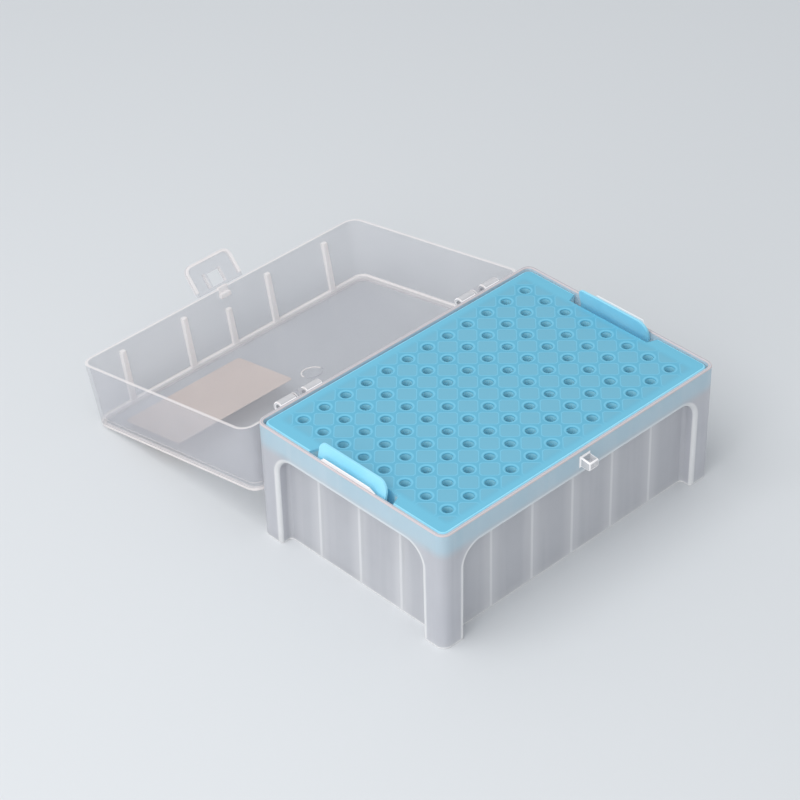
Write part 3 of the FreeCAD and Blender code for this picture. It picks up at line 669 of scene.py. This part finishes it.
# %% Finger tabs
TAB_LEAN, TAB_BEND, TAB_FOOT = 1.6, 1.8, 1.0
CATCH_CORNER, HINGE_CORNER = 4.0, 2.0
NOTCH = 6.0
tabs = []
for side in (-1, 1):
    place = Vector((side * (TRAY_X - SKIRT / 2), 0, (SKIRT_FOOT + PLATE_TOP - NOTCH) / 2))
    height = PLATE_TOP - NOTCH - SKIRT_FOOT
    sill = add(bpy.ops.mesh.primitive_cube_add, "tray_sill", place,
               (SKIRT - 4 * SHY, 2 * BITE_OUTER + WEB_LAP, height - 4 * SHY), size=1)
    place.z = PLATE_TOP - NOTCH
    tab = add(bpy.ops.mesh.primitive_cube_add, "tray_tab", place,
              (SKIRT, 2 * TAB_HALF, TAB_FOOT), size=1)
    edit(tab)
    pick("FACE", lambda p, n: n.z > 0.9)
    extrude(z=NOTCH - TAB_BEND - TAB_FOOT / 2)
    extrude(x=-side * TAB_LEAN, z=TAB_BEND + TAB_RISE)
    for end, radius in ((-1, CATCH_CORNER), (1, HINGE_CORNER)):
        pick("EDGE", lambda p, n: p.z > PLATE_TOP + TAB_RISE - 0.1
             and abs(n.x) > 0.9 and end * p.y > 0)
        bevel(radius, segments=6)
    edit()
    modify(tab, "BEVEL", width=0.22 * MM, segments=2, limit_method="ANGLE",
           angle_limit=math.radians(40), material=1)
    tabs += [sill, tab]
for piece in (cells, *webs):
    dress(piece, BLUE, THIN_AND_LIT_BLUE)
# The tabs and their sills are all painted in the paler blue, as light through the thin plastic.
for piece in tabs:
    dress(piece, BLUE, THIN_AND_LIT_BLUE, slot=1)
print(len(tabs) // 2, "tabs, each", 2 * TAB_HALF, "mm long")

# %% Unite the tray
tray = cells
edit(tray)
bpy.ops.mesh.normals_make_consistent(inside=False)
edit()
for piece in (rim, *webs, *tabs):
    modify(tray, "BOOLEAN", object=piece, operation="UNION", solver="EXACT")
    bpy.data.objects.remove(piece)
tray.name = tray.data.name = "drop_in_tray"
smooth(tray)
tell(tray)
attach(tray, "base")
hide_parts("tray")

# %% [markdown]
# ## The lid
#
# The lid is a drafted cover: its walls lean in by about two degrees so that it leaves the mould.
# It is easiest to draw closed and upright, then to lay open about its hinge. The walls come from
# one outline that is extruded up, inset below, and extruded up again inside to hollow it.

# %% Where the lid and the latch lie
joints = {joint["name"]: joint for joint in frame["record"]["behaviour"]["joints"]}
hinge = Vector(joints["lid_hinge"]["pos_m"])
turn = math.radians(joints["lid_hinge"]["range_deg"][1])
LID_OPEN = Matrix.Translation(hinge) @ Matrix.Rotation(-turn, 4, "X") @ Matrix.Translation(-hinge)
FLAP_SPLAY = math.radians(joints["latch_hinge"]["range_deg"][1])
LATCH_OPEN = (Matrix.Translation(Vector(joints["latch_hinge"]["pos_m"]))
              @ Matrix.Rotation(-turn - FLAP_SPLAY, 4, "X"))
AXIS_Y, AXIS_Z = hinge.y / MM, hinge.z / MM


def lay(piece, matrix):
    """Move a piece to its place and put that place into its mesh."""
    only(piece)
    piece.matrix_world = matrix
    settle()


# %% The hollow cover and its stacking ridge
LID_X, LID_Y, LID_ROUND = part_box("lid")[1][0] / MM, 42.55, 4.9
LID_RIM, LID_DEPTH = AXIS_Z + 2.2, 22.6
LID_WALL, LID_PLATE, LID_LEAN = 1.1, 1.2, 0.83
LID_TOP, CEILING = LID_RIM + LID_DEPTH, LID_RIM + LID_DEPTH - LID_PLATE
RIDGE_INSET, RIDGE, RIDGE_HEIGHT = 0.4, 1.2, 0.9
LESS_X, LESS_Y = 1 - LID_LEAN / LID_X, 1 - LID_LEAN / LID_Y
TOP_ROUND = 0.985 * LID_ROUND
lid = add(bpy.ops.mesh.primitive_plane_add, "clear_lid", (0, 0, LID_RIM),
          (2 * LID_X, 2 * LID_Y, 1), size=1)
edit(lid)
round_corners(LID_ROUND, segments=8)
extrude(z=LID_DEPTH)
resize(LESS_X, LESS_Y)
bpy.ops.mesh.inset(thickness=RIDGE_INSET * MM)
extrude(z=RIDGE_HEIGHT)
bpy.ops.mesh.inset(thickness=RIDGE * MM)
extrude(z=-RIDGE_HEIGHT)
pick("FACE", lambda p, n: level(p, LID_RIM))
bpy.ops.mesh.inset(thickness=LID_WALL * MM)
extrude(z=LID_DEPTH - LID_PLATE)
resize(LESS_X, LESS_Y)
print("plate edges:", pick("EDGE", lambda p, n: level(p, LID_TOP) and abs(
    from_outline(p, LID_X - LID_LEAN, LID_Y - LID_LEAN, TOP_ROUND)) < 0.1))
bevel(0.35, segments=2)
print("ceiling edges:", pick("EDGE", lambda p, n: level(p, CEILING)))
bevel(0.6, segments=3)
edit()
dress(lid, CLEAR, THICK_AND_HIGHLIGHT)
# The rim, the ridge's top and the rounded faces are painted in the whiter material, as highlights.
for face in lid.data.polygons:
    height, lean = face.center.z / MM, abs(face.normal.z)
    rounded = 0.2 < lean < 0.98
    if rounded or abs(height - LID_RIM) < CLOSE or height > LID_TOP + 0.1:
        face.material_index = 1


def soften(piece, width):
    """Round a piece's sharp edges, and paint the rounding in the whiter material, as a highlight."""
    modify(piece, "BEVEL", width=width * MM, segments=2, limit_method="ANGLE",
           angle_limit=math.radians(38), material=1)


soften(lid, 0.3)
tell(lid)

# %% [markdown]
# Ribs, the boss, the ring left by the gate, the hinge arms and their pins are modelled one by
# one, each a little way into the cover. Each but the gate's ring has its edges softened while its
# shape is still simple, and then a Boolean modifier unites it with the cover.

# %% Ribs
def part_of_lid(primitive, name, place, spans, **settings):
    """Add a primitive and dress it all in the whiter material: thick plastic, with a painted highlight.
    """
    piece = add(primitive, name, place, spans, **settings)
    dress(piece, CLEAR, THICK_AND_HIGHLIGHT, slot=1)
    return piece


SINK = 0.3
INNER_WALL = -LID_Y + LID_WALL
RIB, RIB_DEPTH, RIB_SPREAD = 1.8, 1.85, 1.4
FULL, SHORT = 2.6, 7.6
details = []
for rib_x, start in ((-46, FULL), (-19, FULL), (0, SHORT), (19, FULL), (46, FULL)):
    low, high = LID_RIM + start, CEILING + SINK
    rib = part_of_lid(bpy.ops.mesh.primitive_cube_add, "lid_rib",
                      (rib_x, INNER_WALL + (RIB_DEPTH - SINK) / 2, (low + high) / 2),
                      (RIB, RIB_DEPTH + SINK, high - low), size=1)
    edit(rib)
    pick("FACE", lambda p, n: n.z > 0.9)
    resize(x=RIB_SPREAD, about=(rib_x, 0, 0))
    pick("EDGE", lambda p, n: p.y > INNER_WALL + 1 and abs(n.z) > 0.9)
    bevel(0.35, segments=2)
    pick("EDGE", lambda p, n: abs(p.z - low) < 0.1 and p.y > INNER_WALL + 1)
    bevel(0.3, segments=2)
    edit()
    details.append(rib)
print(len(details), "ribs")

# %% Boss, nub and gate mark
# With the lid closed, the base's rim stands 1.1 mm inside the lid's, so the boss starts past it.
BOSS, BOSS_START = Vector((4.4, 1.9, 1.8)), 1.35
NUB = Vector((4.2, 1.3, 2.4))
boss = part_of_lid(bpy.ops.mesh.primitive_cube_add, "lid_boss",
                   (0, INNER_WALL + 0.45, LID_RIM + BOSS_START + BOSS.z / 2), BOSS, size=1)
nub = part_of_lid(bpy.ops.mesh.primitive_cube_add, "rim_nub",
                  (0, INNER_WALL - 0.4, LID_RIM + 0.4), NUB, size=1)
for piece in (boss, nub):
    modify(piece, "BEVEL", width=0.35 * MM, segments=2)
GATE, GATE_RING, GATE_POINTS = 4, 0.5, 32
gate = part_of_lid(bpy.ops.mesh.primitive_cylinder_add, "gate_mark", (0, 0, CEILING),
                   (GATE, GATE, 2 * SINK), vertices=GATE_POINTS, radius=1, depth=1)
edit(gate)
pick("FACE", lambda p, n: n.z < -0.9)
bpy.ops.mesh.inset(thickness=GATE_RING * MM)
extrude(z=SINK)
edit()
# Only the ring's half on the latch's side is painted in the whiter material, as a highlight.
for face in gate.data.polygons:
    face.material_index = int(len(face.vertices) < GATE_POINTS and face.center.y < 0)
details += [boss, nub, gate]
print(len(details), "details inside the cover")

# %% Hinge arms and their pins
HINGE_SPREAD, ARM, ARM_ROUND = 40.0, 3.8, 2.2
ARM_START, ARM_TALL, GUSSET = LID_Y - 0.5, 2.7, 2.4
PIN, PIN_LENGTH, PIN_POINTS = 1.1, 3.0, 24
for arm_x in (-HINGE_SPREAD, HINGE_SPREAD):
    arm = part_of_lid(bpy.ops.mesh.primitive_cube_add, "hinge_arm",
                      (arm_x, (ARM_START + AXIS_Y + ARM_ROUND) / 2, AXIS_Z + ARM_TALL / 2),
                      (ARM, AXIS_Y + ARM_ROUND - ARM_START, ARM_TALL), size=1)
    edit(arm)
    pick("FACE", lambda p, n: n.z > 0.9)
    extrude(z=GUSSET)
    resize(y=0.3, about=(0, ARM_START, 0))
    pick("VERT", lambda p, n: level(p, AXIS_Z + ARM_TALL) and p.y > AXIS_Y)
    bpy.ops.transform.translate(value=(0, -0.7 * MM, 0))
    edit()
    disc = part_of_lid(bpy.ops.mesh.primitive_cylinder_add, "arm_end", (arm_x, AXIS_Y, AXIS_Z),
                       (ARM_ROUND, ARM_ROUND, ARM), vertices=PIN_POINTS, radius=1, depth=1,
                       rotation=(0, math.pi / 2, 0))
    pin = part_of_lid(bpy.ops.mesh.primitive_cylinder_add, "hinge_pin", (arm_x, AXIS_Y, AXIS_Z),
                      (PIN, PIN, ARM + 2 * PIN_LENGTH), vertices=PIN_POINTS, radius=1, depth=1,
                      rotation=(0, math.pi / 2, 0))
    for piece in (arm, disc, pin):
        dress(piece, CLEAR, THICK_AND_HIGHLIGHT, slot=0)
        soften(piece, 0.25)
    details += [arm, disc, pin]
print(len(details), "details in all")

# %% Unite them and lay the lid open
for detail in details:
    modify(lid, "BOOLEAN", object=detail, operation="UNION", solver="EXACT")
    bpy.data.objects.remove(detail)
edit(lid)
bpy.ops.mesh.remove_doubles(threshold=CLOSE * MM)
edit()
smooth(lid)
lay(lid, LID_OPEN)
tell(lid)
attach(lid, "lid")
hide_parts("lid")

# %% [markdown]
# ## The label
#
# A blank slip of paper is stuck to the outside of the lid's plate, so with the lid open it is
# seen from behind, through the plastic. It is a thin slab with slightly rounded corners.

# %% The label
LABEL = Vector((50.5, 28.5, 0.15))
LABEL_CORNER, OFF_PLATE = Vector((-5, -4.75)), 0.01
label = add(bpy.ops.mesh.primitive_plane_add, "paper_label",
            (LABEL_CORNER.x - LABEL.x / 2, LABEL_CORNER.y - LABEL.y / 2, LID_TOP + OFF_PLATE),
            (LABEL.x, LABEL.y, 1), size=1)
edit(label)
round_corners(1.2, segments=4)
extrude(z=LABEL.z - OFF_PLATE)
bpy.ops.mesh.select_all(action="SELECT")
bpy.ops.mesh.normals_make_consistent(inside=False)
edit()
put_in_order(label)
dress(label, PAPER)
lay(label, LID_OPEN)
tell(label)
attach(label, "lid")
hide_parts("label")

# %% [markdown]
# ## The latch flap
#
# The flap hangs from the lid's free rim by a living hinge. It is a thin plate with a rounded foot
# and a raised bead round its free edges. Its window snaps over the catch, and a short rib on each
# side of the window stiffens it. Plates are drawn standing, with the hinge line at the origin.

# %% The flap's plate
FLAP, FLAP_LONG, FLAP_THICK, FLAP_ROUND = 20.0, 10.8, 1.0, 3.0


def upright_plate(name, width, top, foot, thick, radius):
    """A plate that stands across the hinge line, with its two lower corners rounded."""
    plate = add(bpy.ops.mesh.primitive_plane_add, name, (0, thick / 2, (top + foot) / 2),
                (width, top - foot, 1), size=1, rotation=(math.pi / 2, 0, 0))
    edit(plate)
    pick("VERT", lambda p, n: p.z < foot + 0.1)
    round_corners(radius, segments=6)
    bpy.ops.mesh.select_all(action="SELECT")
    extrude(y=-thick)
    edit()
    return plate


flap = upright_plate("latch_flap", FLAP, 0, -FLAP_LONG, FLAP_THICK, FLAP_ROUND)
dress(flap, CLEAR, THICK_AND_HIGHLIGHT)
tell(flap)

# %% The bead, as a thicker plate with its middle cut away
BEAD, BEAD_THICK = 0.9, 1.6
bead = upright_plate("flap_bead", FLAP, -BEAD, -FLAP_LONG, BEAD_THICK, FLAP_ROUND)
cut = upright_plate("bead_cut", FLAP - 2 * BEAD, 0, BEAD - FLAP_LONG, 2 * BEAD_THICK,
                    FLAP_ROUND - BEAD)
modify(bead, "BOOLEAN", object=cut, operation="DIFFERENCE", solver="EXACT")
dress(bead, CLEAR, THICK_AND_HIGHLIGHT, slot=1)
tell(bead)

# %% Root, ribs and window
root = add(bpy.ops.mesh.primitive_cylinder_add, "flap_root", (0, 0, 0),
           (FLAP_THICK / 2, FLAP_THICK / 2, FLAP), vertices=ROUND, radius=1, depth=1,
           rotation=(0, math.pi / 2, 0))
WINDOW, WINDOW_TOP, WINDOW_FOOT = 5.4, -0.55, -5.45
FLAP_RIB, RIB_GAP, RIB_TOP = Vector((0.9, 1.1, 5.4)), 0.3, -0.6
flap_ribs = []
for side in (-1, 1):
    rib_x = side * (WINDOW / 2 + RIB_GAP + FLAP_RIB.x / 2)
    rib = add(bpy.ops.mesh.primitive_cube_add, "flap_rib",
              (rib_x, -FLAP_RIB.y / 2, RIB_TOP - FLAP_RIB.z / 2), FLAP_RIB, size=1)
    dress(rib, CLEAR, THICK_AND_HIGHLIGHT, slot=1)
    flap_ribs.append(rib)
for detail in (bead, root, *flap_ribs):
    modify(flap, "BOOLEAN", object=detail, operation="UNION", solver="EXACT")
window = add(bpy.ops.mesh.primitive_cube_add, "flap_window", (0, 0, (WINDOW_TOP + WINDOW_FOOT) / 2),
             (WINDOW, 4.0, WINDOW_TOP - WINDOW_FOOT), size=1)
modify(flap, "BOOLEAN", object=window, operation="DIFFERENCE", solver="EXACT")
for detail in (bead, cut, root, window, *flap_ribs):
    bpy.data.objects.remove(detail)

# %% Clean and soften the flap
edit(flap)
bpy.ops.mesh.remove_doubles(threshold=0.03 * MM)
edit()
soften(flap, 0.18)
edit(flap)
bpy.ops.mesh.dissolve_degenerate(threshold=0.003 * MM)
edit()
smooth(flap)
lay(flap, LATCH_OPEN)
tell(flap)
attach(flap, "latch")
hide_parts("latch")

# %% [markdown]
# ## The base
#
# The base's shape, with its arches, webs and knuckles, is right in the engineering model, but its
# edges are sharp. A copy of its mesh is welded, and its two bars are taken off, to be modelled
# apart with a lean. Then its flat faces are made whole again. A face that runs round an opening
# would come out folded when it is bevelled, so a few straight cuts first divide such faces. The
# catch on the front is a small box with thin walls, so its top is inset and pushed down.

# %% A welded copy without the bars
base = bpy.data.objects.new("frosted_base", frame["nodes"]["base"].data.copy())
bpy.context.collection.objects.link(base)
edit(base)
bpy.ops.mesh.remove_doubles(threshold=0.002 * MM)
for side in (-1, 1):
    pick("VERT", lambda p, n: p.z > RIM_Z + 0.1 and side * p.x > 0)
    bpy.ops.mesh.delete(type="VERT")
    bpy.ops.mesh.select_non_manifold()
    bpy.ops.mesh.edge_face_add()
BEYOND_X, BEYOND_Y = PANEL_X + 1, PANEL_Y + 1
for axis, place in ((0, 0.0), (1, 0.0), (1, AXIS_Y), (2, AXIS_Z), (0, -BEYOND_X), (0, BEYOND_X),
                    (1, -BEYOND_Y), (1, BEYOND_Y)):
    along = Vector([float(i == axis) for i in range(3)])
    bpy.ops.mesh.select_all(action="SELECT")
    bpy.ops.mesh.bisect(plane_co=along * place * MM, plane_no=along)
    bpy.ops.mesh.mark_seam()
bpy.ops.mesh.select_all(action="SELECT")
bpy.ops.mesh.dissolve_limited(angle_limit=math.radians(1.0), delimit={"SEAM"})
edit()
tell(base)

# %% Hollow the catch from above
NOSE_Y, CATCH_WALL = -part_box("base")[0][1] / MM, 0.6
CATCH_TOP, CATCH_HOLLOW = 41.65, 39.6
edit(base)
print("top of the catch:", pick("FACE", lambda p, n: p.y < -WALL_Y - 1 and n.z > 0.9))
bpy.ops.mesh.inset(thickness=CATCH_WALL * MM)
extrude(z=CATCH_HOLLOW - CATCH_TOP)
edit()

# %% [markdown]
# All the outside edges are bevelled a little, and the rounded edges are painted in the whiter
# material, as highlights where light leaves the plastic. The inside keeps its sharp edges: it is
# seen only dimly through the walls.

# %% Soften the outside edges
WALL = 1.2
dress(base, FROSTED, EDGE)


def inside_hollows(p):
    """True on the edges of the main hollow, of the hollow posts and of the ledge."""
    x, y = abs(p.x), abs(p.y)
    main = x < PANEL_X - WALL + 0.1 and y < PANEL_Y - WALL + 0.1
    post = (WALL_X - POST + WALL - 0.1 < x < WALL_X - WALL
            and WALL_Y - POST + WALL - 0.1 < y < WALL_Y - WALL)
    ledge = p.z > LEDGE_Z - 0.1 and x < WALL_X - 0.9 and y < WALL_Y - 0.9
    catch = x < 1.6 and -NOSE_Y + 0.3 < p.y < -WALL_Y - 0.1 and p.z > CATCH_HOLLOW - 0.1
    return catch or 0.6 < p.z < LEDGE_Z + 0.1 and (main or post or ledge)


edit(base)
bpy.ops.mesh.select_mode(type="EDGE")
bpy.ops.mesh.select_all(action="DESELECT")
bpy.ops.mesh.edges_select_sharp(sharpness=math.radians(35))
unpick(inside_hollows)
bpy.ops.mesh.bevel(offset=0.4 * MM, segments=2, affect="EDGES", clamp_overlap=False, material=1)
edit()
rounded = sum(face.area for face in base.data.polygons if face.material_index == 1)
print("rounded edges:", round(rounded / MM ** 2), "square millimetres")

# %% [markdown]
# A low, thin bar stands on the rim beside each finger tab and leans outwards a little. A short
# block on the rim is extruded up and out, and its top is made shorter than its foot.

# %% The bars beside the tabs
BAR_LENGTH, BAR_TOP, BAR_THICK = 24.0, 20.0, 0.5
BAR_TALL, BAR_LEAN, BAR_SINK = 2.0, 0.7, 0.3
for side in (-1, 1):
    bar = add(bpy.ops.mesh.primitive_cube_add, "rim_bar",
              (side * (WALL_X - 1.5 * BAR_THICK), 0, RIM_Z - BAR_SINK / 2),
              (BAR_THICK, BAR_LENGTH, BAR_SINK), size=1)
    edit(bar)
    pick("FACE", lambda p, n: n.z > 0.9)
    extrude(x=side * BAR_LEAN, z=BAR_TALL)
    resize(y=BAR_TOP / BAR_LENGTH)
    edit()
    modify(bar, "BEVEL", width=0.15 * MM, segments=2, limit_method="ANGLE",
           angle_limit=math.radians(40))
    # The whole bar is painted in the white edge material, as a highlight.
    dress(bar, FROSTED, EDGE, slot=1)
    modify(base, "BOOLEAN", object=bar, operation="UNION", solver="EXACT")
    bpy.data.objects.remove(bar)
smooth(base)
tell(base)
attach(base, "base")
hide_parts("base")

# %% [markdown]
# ## Floor, light and camera
#
# Clear plastic is shown by its edges, so the floor is a plain pale grey, a little darker than the
# plastic's own highlights. One wide lamp high on the left gives the rims their bright lines, and
# a second lower down lights the short side. From here on, places and sizes are in metres.

# %% Floor and backdrop
bpy.ops.object.select_all(action="DESELECT")
bpy.ops.mesh.primitive_plane_add(size=6.0, location=(0, 0, 0))
floor = bpy.context.object
floor.name = "studio_floor"
material, tree = new_material("pale_floor")
shader = add_node(tree, "ShaderNodeBsdfPrincipled", {"Base Color": linear("#D9DBDD"), "Roughness": 0.6})
finish_material(tree, shader)
floor.data.materials.append(material)
world = bpy.data.worlds.new("studio")
bpy.context.scene.world = world
world.use_nodes = True
world.node_tree.nodes["Background"].inputs["Color"].default_value = linear("#E8ECF0")
world.node_tree.nodes["Background"].inputs["Strength"].default_value = 0.76


# %% Lamps
def soft_lamp(name, place, target, size, power):
    """Add a square lamp that faces a point."""
    lamp = bpy.data.lights.new(name, "AREA")
    lamp.shape = "SQUARE"
    lamp.size = size
    lamp.energy = power
    holder = bpy.data.objects.new(name, lamp)
    bpy.context.collection.objects.link(holder)
    holder.location = place
    holder.rotation_mode = "QUATERNION"
    holder.rotation_quaternion = (Vector(target) - Vector(place)).to_track_quat("-Z", "Y")
    print(name, power, "W at", place)


centre = (0.0, 0.04, 0.03)
soft_lamp("top_softbox", (-0.45, 0.1, 0.85), centre, 0.7, 4.0)
soft_lamp("left_fill", (-1.0, -0.42, 0.5), centre, 0.8, 3.6)

# %% Camera
camera = bpy.data.objects.new("camera", bpy.data.cameras.new("camera"))
bpy.context.collection.objects.link(camera)
bpy.context.scene.camera = camera
camera.data.sensor_width = 36.0
camera.data.lens = 122.8
azimuth, elevation, roll = (math.radians(v) for v in (-43.4, 36.5, -1.3))
distance = 0.852
aim = Vector((-20.6, 18.4, 42.6)) * MM
level_out = math.cos(elevation)
back = Vector((math.sin(azimuth) * level_out, -math.cos(azimuth) * level_out, math.sin(elevation)))
camera.rotation_mode = "QUATERNION"
tip = Matrix.Rotation(roll, 3, "Z").to_quaternion()
camera.rotation_quaternion = (-back).to_track_quat("-Z", "Y") @ tip
camera.location = aim + back * distance
camera.data.clip_start, camera.data.clip_end = 0.05, 20.0
bpy.context.scene.view_settings.view_transform = "Standard"
